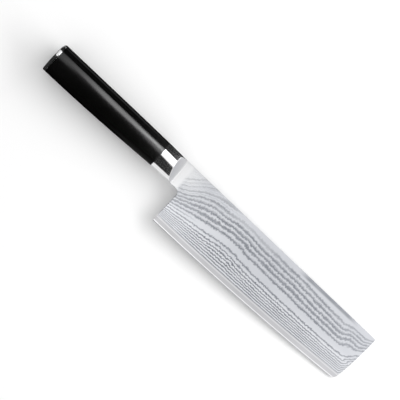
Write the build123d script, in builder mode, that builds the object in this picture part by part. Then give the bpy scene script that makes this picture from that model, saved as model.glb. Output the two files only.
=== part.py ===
from build123d import *
from math import cos, radians, sin, sqrt, tan
import os

# A nakiri knife that lies on its left side, in millimetres.
# +X runs from the butt to the tip, +Y from the edge to the spine, +Z out of the right face of the blade.
# The origin is under the middle of the knife, on the surface that it lies on.

# Blade
blade_length = 165.0
blade_height = 45.3
blade_thickness = 2.0
core_thickness = 0.7
spine_fall = 0.65          # the spine comes down by this from heel to tip
edge_rise = 5.9            # the curved edge comes up by this from heel to tip
bevel_height = 22.0        # width of the long bevel, from the edge up
bevel_angle = 2.2          # degrees a side
edge_bevel_height = 0.6
edge_thickness = 0.1
tip_lean = 2.7             # the tip's bottom lies this far behind its top
tip_bow = 0.8              # how far the tip's edge swells past a straight line
tip_corner_radius = 0.8
toe_radius = 5.0

# Neck and stub tang
neck_height = 18.9
neck_length = 8.9
choil_radius = 3.8
stub_height = 12.0
stub_length = 28.0         # its reach behind the front of the grip
seat_relief = 0.1          # the blade is this much thinner a side where the bolster and the fork hold it

# Handle
grip_length = 95.4
butt_height = 22.85
seam_height = 19.7         # handle height where the grip meets the bolster
butt_half_right = 9.2
butt_half_left = 8.9
seam_half_right = 8.1
seam_half_left = 7.7
butt_rise = 0.7            # the handle's top stands this far above the spine
seam_rise = 0.5

# D-shaped section of the handle, as arcs that run into each other
ridge_drop = 4.9           # the ridge's depth below the top
ridge_radius = 1.0
shoulder_radius = 1.8
crown_turn = 10.0          # degrees that each stretch of the outline has turned by at its end
facet_turn = 81.0
side_start_turn = 94.0
side_end_turn = 118.0
left_crown_turn = 6.0
half_turn = 180.0
quarter_turn = 90.0

# Bolster
bolster_length = 17.5
bolster_slot_depth = 4.6
bolster_front_half_right = 7.9
bolster_front_half_left = 7.5
facet_angle = 54.0         # slope of the front facets, from the blade's face
facet_lean = 4.0           # the facets' feet lean forward at the bottom, degrees
facet_blend_radius = 1.2
facet_lip = 0.1            # the facets' feet stand this far off the blade's faces
spigot_length = 3.0

# Bores in the grip
pocket_height = 14.0
pocket_width = 8.0
pocket_depth = 34.0
bore_radius = 5.0
web_thickness = 8.0
stud_clearance = 0.3
counterbore_radius = 7.0
counterbore_depth = 14.0

# Tang extension, washer and nut
tang_drop = 10.4           # the tang's axis below the top of the handle
bar_height = 8.0
bar_thickness = 5.0
bar_tail = 2.0             # free bore between the bar's end and the web
fork_lap = 20.0            # length of stub tang that lies in the fork
stud_radius = 3.0
stud_chamfer = 0.6
stud_overhang = 1.5
washer_radius = 6.0
washer_thickness = 1.2
nut_flat_radius = 5.0
nut_thickness = 5.0
nut_chamfer = 0.5

# End cap
cap_thickness = 2.9
cap_bow = 0.4
cap_edge_radius = 0.8
cap_spigot_length = 4.0
cap_spigot_wall = 1.6
cap_fit_gap = 0.05

overrun = 5.0              # how far a cutter runs past what it cuts

# Places along the knife
overall_length = cap_thickness + grip_length + bolster_length + neck_length + blade_length
butt_x = -overall_length / 2
cap_front_x = butt_x + cap_thickness
grip_front_x = cap_front_x + grip_length
bolster_front_x = grip_front_x + bolster_length
heel_x = bolster_front_x + neck_length
tip_x = heel_x + blade_length
shoulder_x = bolster_front_x - bolster_slot_depth
stub_back_x = grip_front_x - stub_length
counterbore_x = cap_front_x + counterbore_depth
web_front_x = counterbore_x + web_thickness
pocket_back_x = grip_front_x - pocket_depth

# The line that the bolster's facets end on, across the blade
facet_reach = neck_height * tan(radians(facet_lean))
facet_top_x = bolster_front_x - facet_reach / 2
facet_bottom_x = bolster_front_x + facet_reach / 2

# Places across the knife
edge_y = -(blade_height + butt_rise) / 2
spine_y = edge_y + blade_height
neck_bottom_y = spine_y - neck_height
handle_top_y = spine_y + butt_rise
tang_y = handle_top_y - tang_drop
middle_z = butt_half_left
face_z = blade_thickness / 2       # the blade's faces, from its middle plane
core_z = core_thickness / 2
stub_z = face_z - seat_relief
stub_thickness = 2 * stub_z

# The edge is an arc that is level at the heel
edge_radius = (blade_length**2 + edge_rise**2) / (2 * edge_rise)
edge_centre_y = edge_y + edge_radius


def edge_height(x):
    return edge_centre_y - sqrt(edge_radius**2 - (x - heel_x) ** 2)


def blade_outline(z):
    toe_x = tip_x - tip_lean
    middle_x = (heel_x + toe_x) / 2
    tip_top = (tip_x, spine_y - spine_fall)
    toe = (toe_x, edge_height(toe_x))
    tip_middle = ((tip_x + toe_x) / 2 + tip_bow, (tip_top[1] + toe[1]) / 2)
    stub_top_y = tang_y + stub_height / 2
    stub_bottom_y = tang_y - stub_height / 2
    with BuildSketch(Plane.XY.offset(z)) as outline:
        with BuildLine():
            ThreePointArc((heel_x, edge_y), (middle_x, edge_height(middle_x)), toe)
            ThreePointArc(toe, tip_middle, tip_top)
            Polyline(
                tip_top,
                (heel_x, spine_y),
                (shoulder_x, spine_y),
                (shoulder_x, stub_top_y),
                (stub_back_x, stub_top_y),
                (stub_back_x, stub_bottom_y),
                (shoulder_x, stub_bottom_y),
                (shoulder_x, neck_bottom_y),
                (heel_x, neck_bottom_y),
                (heel_x, edge_y),
            )
        make_face()
        fillet(outline.vertices().sort_by_distance((heel_x, neck_bottom_y, 0))[0], choil_radius)
        fillet(outline.vertices().sort_by_distance((*toe, 0))[0], toe_radius)
        fillet(outline.vertices().sort_by_distance((*tip_top, 0))[0], tip_corner_radius)
    return outline.sketch


# What the stones take off one side: the long bevel, then the small bevel at the edge.
# The cutter is a ring about the centre of the edge's arc, so both bevels follow the edge.
ring_start = 2.0           # degrees behind the heel
ring_span = 10.0
bevel_slope = tan(radians(bevel_angle))
edge_bevel_z = face_z - (bevel_height - edge_bevel_height) * bevel_slope
edge_z = edge_thickness / 2
ring_plane = Plane(
    origin=(heel_x, edge_centre_y, middle_z),
    x_dir=(sin(radians(ring_start)), cos(radians(ring_start)), 0),
    z_dir=(cos(radians(ring_start)), -sin(radians(ring_start)), 0),
)
ring_axis = Axis((heel_x, edge_centre_y, 0), (0, 0, 1))


def ground_off(side):
    with BuildSketch(ring_plane) as ground:
        with BuildLine():
            Polyline(
                (bevel_height - edge_radius, side * face_z),
                (edge_bevel_height - edge_radius, side * edge_bevel_z),
                (-edge_radius, side * edge_z),
                (-edge_radius - overrun, side * edge_z),
                (-edge_radius - overrun, side * (face_z + overrun)),
                (bevel_height - edge_radius, side * (face_z + overrun)),
                close=True,
            )
        make_face()
    return ground.sketch


def seat(side):
    # the neck and the stub behind the feet of the bolster's facets
    with BuildSketch(Plane.XY.offset(middle_z + side * stub_z)) as held:
        with BuildLine():
            Polyline(
                (facet_top_x, spine_y),
                (stub_back_x, spine_y),
                (stub_back_x, neck_bottom_y),
                (facet_bottom_x, neck_bottom_y),
                close=True,
            )
        make_face()
    return held.sketch


def blade_layer(low, high):
    with BuildPart() as layer:
        extrude(blade_outline(middle_z + low), amount=high - low)
        for side in (1, -1):
            revolve(ground_off(side), axis=ring_axis, revolution_arc=ring_span, mode=Mode.SUBTRACT)
            extrude(seat(side), amount=side * overrun, mode=Mode.SUBTRACT)
    return layer.part


# The D-shaped outline starts at the top and runs down both sides to the bottom.
# Every stretch is an arc. The radii that nobody chooses follow from the height and the half widths.
def sideways(start, end):
    return sin(radians(end)) - sin(radians(start))


def downwards(start, end):
    return cos(radians(start)) - cos(radians(end))


def two_lengths(first, second, target):
    # the lengths of two given directions that add up to the target
    area = first[0] * second[1] - first[1] * second[0]
    return (
        (target[0] * second[1] - target[1] * second[0]) / area,
        (first[0] * target[1] - first[1] * target[0]) / area,
    )


def turn(start, end):
    return (sideways(start, end), downwards(start, end))


def handle_section(x, top_y, height, half_right, half_left):
    crown_radius, facet_length = two_lengths(
        turn(0, crown_turn),
        (cos(radians(facet_turn)), sin(radians(facet_turn))),
        (
            half_right
            - ridge_radius * sideways(facet_turn, quarter_turn)
            - shoulder_radius * sideways(crown_turn, facet_turn),
            ridge_drop
            - ridge_radius * downwards(facet_turn, quarter_turn)
            - shoulder_radius * downwards(crown_turn, facet_turn),
        ),
    )
    side_radius, bottom_radius = two_lengths(
        turn(side_start_turn, side_end_turn),
        turn(side_end_turn, half_turn),
        (
            -half_right - ridge_radius * sideways(quarter_turn, side_start_turn),
            height - ridge_drop - ridge_radius * downwards(quarter_turn, side_start_turn),
        ),
    )
    left_shoulder_radius = (half_left - crown_radius * sideways(0, left_crown_turn)) / sideways(
        left_crown_turn, quarter_turn
    )
    left_drop = crown_radius * downwards(0, left_crown_turn) + left_shoulder_radius * downwards(
        left_crown_turn, quarter_turn
    )
    flank_radius, left_bottom_radius = two_lengths(
        turn(quarter_turn, side_end_turn),
        turn(side_end_turn, half_turn),
        (-half_left, height - left_drop),
    )
    top = (top_y, middle_z)
    right_arcs = [
        (shoulder_radius, facet_turn - crown_turn),
        (ridge_radius, side_start_turn - facet_turn),
        (side_radius, side_end_turn - side_start_turn),
        (bottom_radius, half_turn - side_end_turn),
    ]
    left_arcs = [
        (left_shoulder_radius, quarter_turn - left_crown_turn),
        (flank_radius, side_end_turn - quarter_turn),
        (left_bottom_radius, half_turn - side_end_turn),
    ]
    with BuildSketch(Plane.YZ.offset(x)) as section:
        with BuildLine():
            line = JernArc(top, (0, 1), crown_radius, crown_turn)
            for count, (radius, angle) in enumerate(right_arcs):
                line = JernArc(line @ 1, line % 1, radius, angle)
                if count == 0:
                    line = Line(line @ 1, line @ 1 + (line % 1) * facet_length)
            line = JernArc(top, (0, -1), crown_radius, -left_crown_turn)
            for radius, angle in left_arcs:
                line = JernArc(line @ 1, line % 1, radius, -angle)
        make_face()
    return section.sketch


def between(start, end, share):
    return start + (end - start) * share


def grip_section(share):
    # share is 0 at the butt and 1 at the front of the grip, and the belly line bends more towards the front
    return handle_section(
        between(butt_x, grip_front_x, share),
        spine_y + between(butt_rise, seam_rise, share**6),
        between(butt_height, seam_height, share**2),
        between(butt_half_right, seam_half_right, share),
        between(butt_half_left, seam_half_left, share),
    )


# Blade: a hard core between two laminated claddings
blade_core = blade_layer(-core_z, core_z)
cladding_right = blade_layer(core_z, face_z)
cladding_left = blade_layer(-face_z, -core_z)

# Tang extension: a forked bar that laps over the stub tang and ends in a stud
fork_front_x = stub_back_x + fork_lap
bar_back_x = web_front_x + bar_tail
nut_front_x = counterbore_x - washer_thickness
stud_back_x = nut_front_x - nut_thickness - stud_overhang
with BuildPart() as tang_extension:
    with BuildSketch(Plane.YZ.offset(bar_back_x)):
        with Locations((tang_y, middle_z)):
            Rectangle(bar_height, bar_thickness)
    extrude(amount=fork_front_x - bar_back_x)
    with BuildSketch(Plane.YZ.offset(stud_back_x)):
        with Locations((tang_y, middle_z)):
            Circle(stud_radius)
    extrude(amount=bar_back_x - stud_back_x)
    chamfer(tang_extension.faces().sort_by(Axis.X)[0].edges(), stud_chamfer)
    with BuildSketch(Plane.YZ.offset(stub_back_x)):
        with Locations((tang_y, middle_z)):
            Rectangle(stub_height, stub_thickness)
    extrude(amount=fork_lap, mode=Mode.SUBTRACT)


# The room inside the grip for the tang: a pocket at the front, then a round bore up to the web
def tang_room(front_x):
    with BuildPart() as room:
        with BuildSketch(Plane.YZ.offset(pocket_back_x)):
            with Locations((tang_y, middle_z)):
                SlotOverall(pocket_height, pocket_width)
        extrude(amount=front_x - pocket_back_x)
        with BuildSketch(Plane.YZ.offset(web_front_x)):
            with Locations((tang_y, middle_z)):
                Circle(bore_radius)
        extrude(amount=pocket_back_x - web_front_x)
    return room.part


# Grip
station_shares = (0.25, 0.5, 0.75)
cap_front_share = cap_thickness / (cap_thickness + grip_length)
with BuildPart() as handle_grip:
    loft([grip_section(share) for share in (cap_front_share, *station_shares, 1)])
    add(tang_room(grip_front_x), mode=Mode.SUBTRACT)
    with BuildSketch(Plane.YZ.offset(cap_front_x)):
        with Locations((tang_y, middle_z)):
            Circle(counterbore_radius)
    extrude(amount=counterbore_depth, mode=Mode.SUBTRACT)
    with BuildSketch(Plane.YZ.offset(counterbore_x)):
        with Locations((tang_y, middle_z)):
            Circle(stud_radius + stud_clearance)
    extrude(amount=web_thickness, mode=Mode.SUBTRACT)

# Bolster: the handle's section, closed in front by two slanted facets that run out on the blade's faces
facet_plane = Plane(
    origin=(bolster_front_x, spine_y - neck_height / 2, middle_z),
    x_dir=(cos(radians(facet_lean)), sin(radians(facet_lean)), 0),
    z_dir=(-sin(radians(facet_lean)), cos(radians(facet_lean)), 0),
)
facet_top = butt_half_right + overrun
with BuildPart() as bolster:
    bolster_front_section = handle_section(
        bolster_front_x + facet_reach,
        spine_y,
        neck_height,
        bolster_front_half_right,
        bolster_front_half_left,
    )
    loft([grip_section(1), bolster_front_section])
    for side in (1, -1):
        foot = (0, side * (face_z + facet_lip))
        with BuildSketch(facet_plane):
            with BuildLine():
                blend = JernArc(foot, (-1, 0), facet_blend_radius, -side * facet_angle)
                slope_length = (facet_top - abs((blend @ 1).Y)) / sin(radians(facet_angle))
                slope = Line(blend @ 1, blend @ 1 + (blend % 1) * slope_length)
                Polyline(
                    slope @ 1,
                    (bolster_length, side * facet_top),
                    (bolster_length, 0),
                    (0, 0),
                    foot,
                )
            make_face()
        extrude(amount=neck_height, both=True, mode=Mode.SUBTRACT)
    with BuildSketch(Plane.XY.offset(middle_z)):
        with BuildLine():
            Polyline(
                (shoulder_x, neck_bottom_y - overrun),
                (shoulder_x, spine_y + overrun),
                (tip_x, spine_y + overrun),
                (tip_x, neck_bottom_y - overrun),
                close=True,
            )
        make_face()
    extrude(amount=stub_z, both=True, mode=Mode.SUBTRACT)
    with BuildSketch(Plane.YZ.offset(grip_front_x)):
        with Locations((tang_y, middle_z)):
            SlotOverall(pocket_height, pocket_width)
    extrude(amount=-spigot_length)
    with BuildSketch(Plane.YZ.offset(grip_front_x - spigot_length)):
        with Locations((tang_y, middle_z)):
            Rectangle(stub_height, stub_thickness)
    extrude(amount=bolster_length, mode=Mode.SUBTRACT)

# Bedding: the resin that fills what the tang leaves of its room
with BuildPart() as tang_bedding:
    add(tang_room(grip_front_x - spigot_length))
    add(tang_extension.part, mode=Mode.SUBTRACT)
    with BuildSketch(Plane.YZ.offset(stub_back_x)):
        with Locations((tang_y, middle_z)):
            Rectangle(stub_height, stub_thickness)
    extrude(amount=stub_length, mode=Mode.SUBTRACT)

# Washer and nut that draw the tang tight against the web
with BuildPart() as tang_washer:
    with BuildSketch(Plane.YZ.offset(nut_front_x)):
        with Locations((tang_y, middle_z)):
            Circle(washer_radius)
            Circle(stud_radius + stud_clearance, mode=Mode.SUBTRACT)
    extrude(amount=washer_thickness)

with BuildPart() as tang_nut:
    with BuildSketch(Plane.YZ.offset(nut_front_x - nut_thickness)):
        with Locations((tang_y, middle_z)):
            RegularPolygon(nut_flat_radius, 6, major_radius=False)
    extrude(amount=nut_thickness)
    chamfer(tang_nut.faces().filter_by(Axis.X).edges(), nut_chamfer)
    with BuildSketch(Plane.YZ.offset(nut_front_x - nut_thickness)):
        with Locations((tang_y, middle_z)):
            Circle(stud_radius)
    extrude(amount=nut_thickness, mode=Mode.SUBTRACT)

# End cap: a plate with a slightly bowed face, and a hollow spigot in the counterbore
cap_bow_radius = (butt_height**2 / 4 + cap_bow**2) / (2 * cap_bow)
with BuildPart() as end_cap:
    loft([grip_section(0), grip_section(cap_front_share)])
    with Locations((butt_x + cap_bow_radius, handle_top_y - butt_height / 2, middle_z)):
        Sphere(cap_bow_radius, mode=Mode.INTERSECT)
    fillet(end_cap.faces().sort_by(Axis.X)[0].edges(), cap_edge_radius)
    with BuildSketch(Plane.YZ.offset(cap_front_x)):
        with Locations((tang_y, middle_z)):
            Circle(counterbore_radius - cap_fit_gap)
            Circle(counterbore_radius - cap_fit_gap - cap_spigot_wall, mode=Mode.SUBTRACT)
    extrude(amount=cap_spigot_length)

pieces = {
    "blade_core": blade_core,
    "cladding_right": cladding_right,
    "cladding_left": cladding_left,
    "bolster": bolster.part,
    "tang_extension": tang_extension.part,
    "handle_grip": handle_grip.part,
    "tang_bedding": tang_bedding.part,
    "tang_washer": tang_washer.part,
    "tang_nut": tang_nut.part,
    "end_cap": end_cap.part,
}
os.makedirs("parts", exist_ok=True)
for name, piece in pieces.items():
    piece.label = name
    export_step(piece, f"parts/{name}.step")
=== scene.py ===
import math

import bpy
import numpy as np
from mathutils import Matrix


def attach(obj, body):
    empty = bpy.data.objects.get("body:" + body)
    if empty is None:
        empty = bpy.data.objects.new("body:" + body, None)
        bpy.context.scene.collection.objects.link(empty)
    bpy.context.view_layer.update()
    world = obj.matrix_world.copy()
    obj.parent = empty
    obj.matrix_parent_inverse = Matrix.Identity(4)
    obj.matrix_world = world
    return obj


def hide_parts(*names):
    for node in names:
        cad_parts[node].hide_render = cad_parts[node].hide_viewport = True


# A nakiri knife that lies on its left side. Its visible solids are remade as finer skins with eased edges.
# Lengths in the dictionaries are millimetres and angles are degrees.

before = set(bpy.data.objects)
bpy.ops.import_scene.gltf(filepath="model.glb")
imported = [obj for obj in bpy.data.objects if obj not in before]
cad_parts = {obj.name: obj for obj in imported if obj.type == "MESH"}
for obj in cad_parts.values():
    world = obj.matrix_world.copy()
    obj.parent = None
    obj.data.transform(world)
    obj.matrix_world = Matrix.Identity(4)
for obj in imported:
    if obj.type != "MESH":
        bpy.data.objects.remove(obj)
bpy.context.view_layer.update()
print("frame loaded")

millimetre = 0.001
places = {
    "butt": -144.85,
    "capFront": -141.95,
    "gripFront": -46.55,
    "shoulder": -33.65,  # where the neck ends inside the bolster
    "bolsterFront": -29.05,
    "heel": -20.15,
    "tip": 144.85,
    "edge": -23.0,
    "spine": 22.3,
    "middle": 8.9,  # height of the blade's middle plane
}


# Meshes, as arrays of points and faces


def gridQuads(rows, columns, closed=False):
    # four neighbouring points of a grid make a face, and a closed row's last column joins its first
    across = np.arange(columns if closed else columns - 1)[None, :]
    down = np.arange(rows - 1)[:, None] * columns
    nextAcross = (across + 1) % columns
    corners = (down + across, down + nextAcross, down + columns + nextAcross, down + columns + across)
    return np.stack(np.broadcast_arrays(*corners), axis=-1).reshape(-1, 4)


def halves(quads):
    # each quad as two triangles
    return np.concatenate([quads[:, [0, 1, 2]], quads[:, [0, 2, 3]]])


def welded(points, triangles):
    # points within a tenth of a micron become one, and triangles that lose a corner by it go
    _, first, same = np.unique(np.round(points, 4), axis=0, return_index=True, return_inverse=True)
    triangles = same.reshape(-1)[triangles]
    a, b, c = triangles.T
    return points[first], triangles[(a != b) & (b != c) & (c != a)]


def slab(points, triangles, high, low):
    # a flat sheet given two heights at each point, its open rim closed by a wall
    count = len(points)
    sheet = np.concatenate([np.c_[points, high], np.c_[points, low]])
    edges = np.concatenate([triangles[:, [0, 1]], triangles[:, [1, 2]], triangles[:, [2, 0]]])
    rim = edges[~np.isin(edges[:, 0] * count + edges[:, 1], edges[:, 1] * count + edges[:, 0])]
    start, end = rim.T
    wall = halves(np.stack([start, start + count, end + count, end], axis=-1))
    return welded(sheet, np.concatenate([triangles, triangles[:, ::-1] + count, wall]))


def facingOut(points, triangles):
    # the volume is the sum of the triangles' triple products, and it is negative if they face inwards
    a, b, c = (points[triangles[:, i]] for i in range(3))
    inside = np.einsum("ij,ij->i", a, np.cross(b, c)).sum() < 0
    return triangles[:, ::-1] if inside else triangles


def addSkin(name, points, triangles, finish, node, creaseAngle=28):
    # a smooth mesh, sharp only where its faces meet at more than the crease angle, in place of a node
    mesh = bpy.data.meshes.new(name)
    mesh.from_pydata((points * millimetre).tolist(), [], facingOut(points, triangles).tolist())
    mesh.polygons.foreach_set("use_smooth", np.ones(len(mesh.polygons), bool))
    mesh.set_sharp_from_angle(angle=math.radians(creaseAngle))
    mesh.materials.append(finish)
    skin = bpy.data.objects.new(name, mesh)
    bpy.context.scene.collection.objects.link(skin)
    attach(skin, "root")
    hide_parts(node)
    print(name, len(mesh.polygons), "triangles")


# Shader nodes


class Value:
    # a number that varies over a surface; sums and products with it add Math nodes
    def __init__(self, finish, socket):
        self.finish = finish
        self.socket = socket

    def put(self, operation, *others):
        # a Math node whose first input is this value
        return self.finish.node("ShaderNodeMath", {"operation": operation}, dict(enumerate((self, *others))))

    def __add__(self, other):
        return self.put("ADD", other)

    def __sub__(self, other):
        return self.put("SUBTRACT", other)

    def __rsub__(self, other):
        return self.finish.node("ShaderNodeMath", {"operation": "SUBTRACT"}, {0: other, 1: self})

    def __mul__(self, other):
        return self.put("MULTIPLY", other)

    def __truediv__(self, other):
        return self.put("DIVIDE", other)

    __radd__ = __add__
    __rmul__ = __mul__


class Finish:
    # one material, or the world, built node by node
    def __init__(self, owner):
        owner.use_nodes = True
        self.owner = owner
        self.tree = owner.node_tree
        self.tree.nodes.clear()

    def node(self, kind, settings=None, inputs=None, output=0):
        # a new node: its settings first, then what its sockets hold or are linked to
        made = self.tree.nodes.new(kind)
        for key, value in (settings or {}).items():
            if key == "stops":
                self.setStops(made.color_ramp, value)
            elif key == "curve":
                self.setCurve(made.mapping, value)
            else:
                setattr(made, key, value)
        for key, value in (inputs or {}).items():
            if isinstance(value, Value):
                self.tree.links.new(value.socket, made.inputs[key])
            else:
                made.inputs[key].default_value = value
        return Value(self, made.outputs[output]) if len(made.outputs) else None

    def setStops(self, ramp, stops):
        # grey levels at their positions, with smooth steps between them
        ramp.interpolation = "EASE"
        while len(ramp.elements) < len(stops):
            ramp.elements.new(0.5)
        for element, (position, level) in zip(ramp.elements, stops):
            element.position = position
            element.color = (level, level, level, 1)

    def setCurve(self, mapping, points):
        # past its ends the curve stays level
        mapping.extend = "HORIZONTAL"
        line = mapping.curves[0].points
        while len(line) < len(points):
            line.new(0.5, 0.5)
        for point, place in zip(line, points):
            point.location = place
        mapping.update()

    def place(self):
        # position on the object, in millimetres
        here = self.node("ShaderNodeTexCoord", output="Object")
        return self.node("ShaderNodeVectorMath", {"operation": "SCALE"}, {0: here, "Scale": 1 / millimetre})

    def parts(self, vector):
        # the three numbers of a vector
        split = self.node("ShaderNodeSeparateXYZ", None, {0: vector})
        return [Value(self, split.socket.node.outputs[i]) for i in range(3)]

    def noise(self, vector, scale, detail=2.0, roughness=0.5):
        # from about -0.5 to 0.5
        inputs = {"Vector": vector, "Scale": scale, "Detail": detail, "Roughness": roughness}
        return self.node("ShaderNodeTexNoise", None, inputs) - 0.5

    def grain(self, vector, scales, detail):
        # noise on axes scaled one by one, so that it is longest along the smallest scale
        scaled = self.node("ShaderNodeMapping", None, {"Vector": vector, "Scale": scales})
        return self.noise(scaled, 1.0, detail)

    def ramped(self, value, low, high, atLow=0.0, atHigh=1.0, smooth=True):
        # runs from atLow to atHigh while the value runs from low to high
        settings = {"interpolation_type": "SMOOTHSTEP" if smooth else "LINEAR"}
        inputs = {"Value": value, 1: low, 2: high, 3: atLow, 4: atHigh}
        return self.node("ShaderNodeMapRange", settings, inputs)

    def profile(self, value, points):
        # a smooth curve through points given in the value's own units
        xs, ys = np.array(points, float).T
        lowX, spanX, lowY, spanY = xs[0], xs[-1] - xs[0], ys.min(), np.ptp(ys)
        curve = [((x - lowX) / spanX, (y - lowY) / spanY) for x, y in points]
        share = (value - lowX) / spanX
        return self.node("ShaderNodeFloatCurve", {"curve": curve}, {"Value": share}) * spanY + lowY

    def peaks(self, value, low, high, lines):
        # one smooth peak for each (place, half width, height), over a range of the value
        stops = [(low, 0)]
        for middle, half, level in lines:
            stops += [(max(middle - half, stops[-1][0]), 0), (middle, level), (middle + half, 0)]
        stops = [((at - low) / (high - low), level) for at, level in stops]
        share = (value - low) / (high - low)
        return self.node("ShaderNodeValToRGB", {"stops": stops}, {0: share})

    def mixed(self, share, first, second):
        # a share of the second colour in the first
        return self.node("ShaderNodeMix", {"data_type": "RGBA"}, {0: share, 6: first, 7: second}, 2)

    def clamped(self, value):
        # kept between 0 and 1
        return self.node("ShaderNodeClamp", None, {"Value": value})

    def surface(self, sockets, height, relief):
        # the finished shader, with a height in millimetres as bump
        inputs = {"Height": height, "Strength": relief, "Distance": millimetre}
        sockets["Normal"] = self.node("ShaderNodeBump", None, inputs)
        return self.shownBy(self.node("ShaderNodeBsdfPrincipled", None, sockets))

    def steel(self, colour, rough, height, relief):
        # bare metal
        return self.surface({"Base Color": colour, "Metallic": 1.0, "Roughness": rough}, height, relief)

    def shownBy(self, shader, kind="ShaderNodeOutputMaterial"):
        # the shader goes to the last node
        self.node(kind, None, {"Surface": shader})
        return self.owner


# Blade: two laminated claddings on a hard core, ground on both sides towards a curved edge

bladeShape = {
    "length": 165.0,
    "thickness": 2.0,
    "core": 0.7,
    "spineFall": 0.65,
    "edgeRise": 5.9,
    "bevelHeight": 22.0,
    "bevelAngle": 2.2,
    "edgeBevel": 0.6,
    "edgeThickness": 0.1,
    "tipLean": 2.7,
    "tipBow": 0.8,
    "tipRadius": 0.8,
    "toeRadius": 5.0,
    "neckHeight": 18.9,
    "choilRadius": 3.8,
    "easing": 0.28,
    "easingFades": 0.5,  # where the cladding is thinner than this, its easing shrinks with it
}
edgeRadius = (bladeShape["length"] ** 2 + bladeShape["edgeRise"] ** 2) / (2 * bladeShape["edgeRise"])
edgeCentre = np.array([places["heel"], places["edge"] + edgeRadius])
bevelSlope = math.tan(math.radians(bladeShape["bevelAngle"]))
bevelOverEdge = bladeShape["bevelHeight"] - bladeShape["edgeBevel"]
edgeBevelHalf = bladeShape["thickness"] / 2 - bevelOverEdge * bevelSlope
coreShows = bladeShape["edgeBevel"] + (bladeShape["core"] / 2 - edgeBevelHalf) / bevelSlope
neckBottom = places["spine"] - bladeShape["neckHeight"]
choilCentre = np.array([places["heel"] - bladeShape["choilRadius"], neckBottom - bladeShape["choilRadius"]])


def unit(vector):
    # the same direction, with a length of one
    return vector / np.hypot(*vector)


def arcPoints(centre, start, end, count):
    # points from start to end on the circle round the centre, by the shorter way
    first, last = (math.atan2(*(p - centre)[::-1]) for p in (start, end))
    last = first + (last - first + math.pi) % (2 * math.pi) - math.pi
    angles = np.linspace(first, last, count)
    return centre + np.hypot(*(start - centre)) * np.c_[np.cos(angles), np.sin(angles)]


def circlesMeet(centreA, radiusA, centreB, radiusB, side):
    # where two circles cross: along the line of centres, then across it to the given side
    apart = np.hypot(*(centreB - centreA))
    along = (apart**2 + radiusA**2 - radiusB**2) / (2 * apart)
    across = math.sqrt(radiusA**2 - along**2)
    ahead = unit(centreB - centreA)
    return centreA + along * ahead + side * across * np.array([-ahead[1], ahead[0]])


def tipOutline():
    # the bowed line of the tip, with a round toe below and a small round corner above
    toeX = places["tip"] - bladeShape["tipLean"]
    toe = np.array([toeX, edgeCentre[1] - math.sqrt(edgeRadius**2 - (toeX - places["heel"]) ** 2)])
    top = np.array([places["tip"], places["spine"] - bladeShape["spineFall"]])
    half = np.hypot(*(top - toe)) / 2
    radius = (half**2 + bladeShape["tipBow"] ** 2) / (2 * bladeShape["tipBow"])
    up = unit(top - toe)
    bowCentre = (toe + top) / 2 + (radius - bladeShape["tipBow"]) * np.array([-up[1], up[0]])
    toeRadius, tipRadius = bladeShape["toeRadius"], bladeShape["tipRadius"]
    inEdge, inBow = edgeRadius - toeRadius, radius - toeRadius
    crossings = [circlesMeet(edgeCentre, inEdge, bowCentre, inBow, side) for side in (-1, 1)]
    toeCentre = min(crossings, key=lambda centre: centre[1])
    toeStart = edgeCentre + edgeRadius * unit(toeCentre - edgeCentre)
    toeEnd = bowCentre + radius * unit(toeCentre - bowCentre)
    cornerY = top[1] - tipRadius
    cornerX = bowCentre[0] + math.sqrt((radius - tipRadius) ** 2 - (cornerY - bowCentre[1]) ** 2)
    cornerCentre = np.array([cornerX, cornerY])
    cornerStart = bowCentre + radius * unit(cornerCentre - bowCentre)
    cornerEnd = cornerCentre + np.array([0.0, tipRadius])
    toeLine = arcPoints(toeCentre, toeStart, toeEnd, 40)
    bowLine = arcPoints(bowCentre, toeEnd, cornerStart, 30)[1:]
    cornerLine = arcPoints(cornerCentre, cornerStart, cornerEnd, 9)[1:]
    return np.concatenate([toeLine, bowLine, cornerLine])


tipLine = tipOutline()


def heightOverEdge(x, y):
    # how far a point lies inside the circle of the edge
    return edgeRadius - np.hypot(x - edgeCentre[0], y - edgeCentre[1])


def spineAt(x):
    # level over the neck, and from the heel to the tip the spine falls evenly
    share = np.clip((x - places["heel"]) / bladeShape["length"], 0, 1)
    return places["spine"] - bladeShape["spineFall"] * share


def rowAt(x, level):
    # rows up to 1 follow the edge at that share of the bevel's height,
    # and from 1 to 2 they fan out to the spine
    height = np.minimum(level, 1) * bladeShape["bevelHeight"]
    curved = edgeCentre[1] - np.sqrt((edgeRadius - height) ** 2 - (x - places["heel"]) ** 2)
    return curved + (spineAt(x) - curved) * np.clip(level - 1, 0, 1)


# the choil ends a little above the bevel, and rows crowd where edges are eased
upperSpan = places["spine"] - (places["edge"] + bladeShape["bevelHeight"])
choilLevel = 1 + (choilCentre[1] - places["edge"] - bladeShape["bevelHeight"]) / upperSpan
toeRise = 1 - np.cos(np.radians(np.arange(0, 90, 6)))
toeLevels = bladeShape["toeRadius"] * toeRise / bladeShape["bevelHeight"]
coreLevel = coreShows / bladeShape["bevelHeight"]
easeSteps = np.array([0, 0.05, 0.12, 0.2, 0.3, 0.6])  # how far the rows stand from an eased edge
nextStep = 1.5
easeLevels = easeSteps / upperSpan
upperLevels = np.r_[1, choilLevel + easeLevels, np.linspace(choilLevel + 0.06, 1.94, 14), 2 - easeLevels]
claddingLevels = np.unique(np.r_[coreLevel, np.linspace(coreLevel + 0.03, 0.985, 14), 1.015, upperLevels])
coreLevels = np.unique(
    np.r_[toeLevels, bladeShape["edgeBevel"] / bladeShape["bevelHeight"], coreLevel, 0.6, upperLevels]
)


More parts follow.
